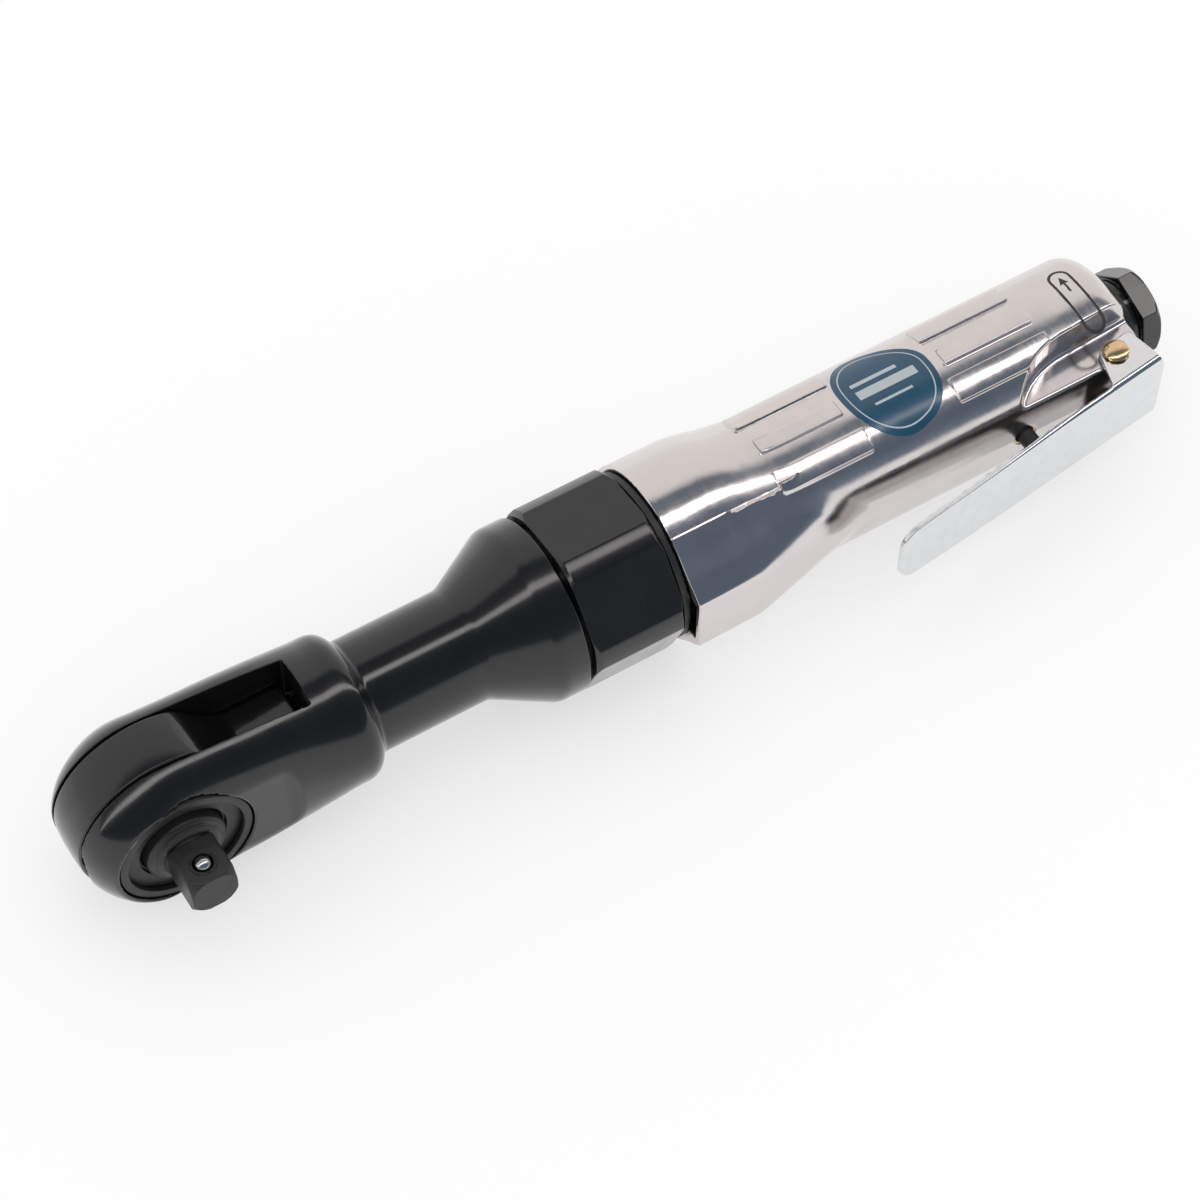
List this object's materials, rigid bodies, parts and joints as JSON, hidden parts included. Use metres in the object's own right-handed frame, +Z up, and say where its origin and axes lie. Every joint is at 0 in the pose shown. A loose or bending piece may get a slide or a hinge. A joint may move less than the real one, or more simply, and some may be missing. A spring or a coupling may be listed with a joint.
{
  "type": "air ratchet wrench",
  "caption": "Pneumatic ratchet wrench: forked ratchet head with a square drive, clamp nut, cast grip with a throttle lever and a hexagonal air inlet.",
  "frame": {"origin": "centre of the drive square's end face", "axes": "-Y the way the square points, +X along the tool from the ratchet head to the air inlet, +Z up with the tool lying on its side"},
  "size_m": [0.251, 0.0486, 0.0384],
  "materials": {
    "black_steel": "gloss black oxide and lacquer on steel",
    "dark_steel": "dark phosphated steel with fine machining lines",
    "bright_steel": "ground bright steel",
    "cast_aluminium": "polished casting with fine circumferential scratches",
    "chrome": "bright chrome on pressed sheet",
    "brass": "polished, pale gold",
    "rubber": "moulded seal",
    "phenolic": "resin bonded cloth",
    "label_film": "plain blue printed film, no lettering"
  },
  "bodies": {
    "tool_body": {"ratchet_housing": "black_steel", "thrust_washer": "dark_steel", "wave_washer": "dark_steel", "retaining_ring": "dark_steel", "front_needle_bearing": "bright_steel", "rear_needle_bearing": "bright_steel", "ring_gear": "dark_steel", "clamp_nut": "black_steel", "mouth_seal": "rubber", "front_end_plate": "cast_aluminium", "front_ball_bearing": "bright_steel", "motor_cylinder": "bright_steel", "motor_dowel": "bright_steel", "rear_end_plate": "cast_aluminium", "rear_ball_bearing": "bright_steel", "motor_housing": "cast_aluminium", "name_label": "label_film", "lever_pin": "brass", "valve_seat": "rubber", "valve_bush": "brass", "valve_spring": "bright_steel", "valve_plug": "dark_steel", "inlet_bushing": "black_steel", "inlet_seal": "rubber", "inlet_screen": "brass"},
    "anvil": {"drive_anvil": "dark_steel", "pawl_pin": "bright_steel", "detent_spring": "bright_steel"},
    "detent": {"detent_ball": "bright_steel"},
    "pawl": {"ratchet_pawl": "dark_steel"},
    "reverse": {"reverse_knob": "black_steel", "reverse_plunger": "bright_steel", "plunger_spring": "bright_steel"},
    "yoke": {"ratchet_yoke": "black_steel"},
    "crank": {"crankshaft": "dark_steel", "planet_pin_1": "bright_steel", "planet_pin_2": "bright_steel", "planet_pin_3": "bright_steel"},
    "bushing": {"drive_bushing": "bright_steel"},
    "planet_1": {"planet_gear_1": "bright_steel"},
    "planet_2": {"planet_gear_2": "bright_steel"},
    "planet_3": {"planet_gear_3": "bright_steel"},
    "rotor": {"rotor": "dark_steel", "rotor_vane_1": "phenolic", "rotor_vane_2": "phenolic", "rotor_vane_3": "phenolic", "rotor_vane_4": "phenolic"},
    "lever": {"throttle_lever": "chrome"},
    "valve": {"valve_stem": "dark_steel", "throttle_valve": "brass"}
  },
  "joints": [
    {"name": "lever_press", "type": "hinge", "parent": "tool_body", "child": "lever", "pos_m": [0.2153, 0.0111, 0], "axis": [0, 0, 1], "range_deg": [-6, 0], "stiffness_Nm_per_rad": 0.08, "springref_deg": 20.05},
    {"name": "valve_travel", "type": "slide", "parent": "tool_body", "child": "valve", "axis": [0, 1, 0], "range_m": [0, 0.0027], "deforming": ["valve_spring"]},
    {"name": "anvil_turn", "type": "hinge", "parent": "tool_body", "child": "anvil", "pos_m": [0, 0.0244, 0], "axis": [0, 1, 0], "continuous": true},
    {"name": "detent_press", "type": "slide", "parent": "anvil", "child": "detent", "axis": [0, 0, -1], "range_m": [0, 0.0009], "stiffness_N_per_m": 600, "springref_m": -0.002, "deforming": ["detent_spring"]},
    {"name": "reverse_turn", "type": "hinge", "parent": "anvil", "child": "reverse", "pos_m": [0, 0.0244, 0], "axis": [0, 1, 0], "range_deg": [-30, 30]},
    {"name": "pawl_rock", "type": "hinge", "parent": "anvil", "child": "pawl", "pos_m": [-0.0078, 0.0244, 0], "axis": [0, 1, 0], "range_deg": [-6.5, 6.5]},
    {"name": "yoke_rock", "type": "hinge", "parent": "tool_body", "child": "yoke", "pos_m": [0, 0.0244, 0], "axis": [0, 1, 0], "range_deg": [-3.2, 3.2]},
    {"name": "crank_turn", "type": "hinge", "parent": "tool_body", "child": "crank", "pos_m": [0.06, 0.0244, 0], "axis": [1, 0, 0], "continuous": true},
    {"name": "bushing_turn", "type": "hinge", "parent": "crank", "child": "bushing", "pos_m": [0.0255, 0.0259, 0], "axis": [1, 0, 0], "continuous": true},
    {"name": "planet_1_turn", "type": "hinge", "parent": "crank", "child": "planet_1", "pos_m": [0.1105, 0.0244, 0.00675], "axis": [1, 0, 0], "continuous": true},
    {"name": "planet_2_turn", "type": "hinge", "parent": "crank", "child": "planet_2", "pos_m": [0.1105, 0.01855, -0.00337], "axis": [1, 0, 0], "continuous": true},
    {"name": "planet_3_turn", "type": "hinge", "parent": "crank", "child": "planet_3", "pos_m": [0.1105, 0.03025, -0.00337], "axis": [1, 0, 0], "continuous": true},
    {"name": "rotor_turn", "type": "hinge", "parent": "tool_body", "child": "rotor", "pos_m": [0.14, 0.0244, 0], "axis": [1, 0, 0], "continuous": true}
  ],
  "couplings": [
    {"joint": "valve_travel", "follows": "lever_press", "m_per_rad": -0.0233},
    {"joint": "pawl_rock", "follows": "reverse_turn", "ratio": -0.2},
    {"joint": "bushing_turn", "follows": "crank_turn", "ratio": -1},
    {"joint": "planet_1_turn", "follows": "crank_turn", "ratio": -2.8},
    {"joint": "planet_2_turn", "follows": "crank_turn", "ratio": -2.8},
    {"joint": "planet_3_turn", "follows": "crank_turn", "ratio": -2.8},
    {"joint": "rotor_turn", "follows": "crank_turn", "ratio": 4.5}
  ]
}
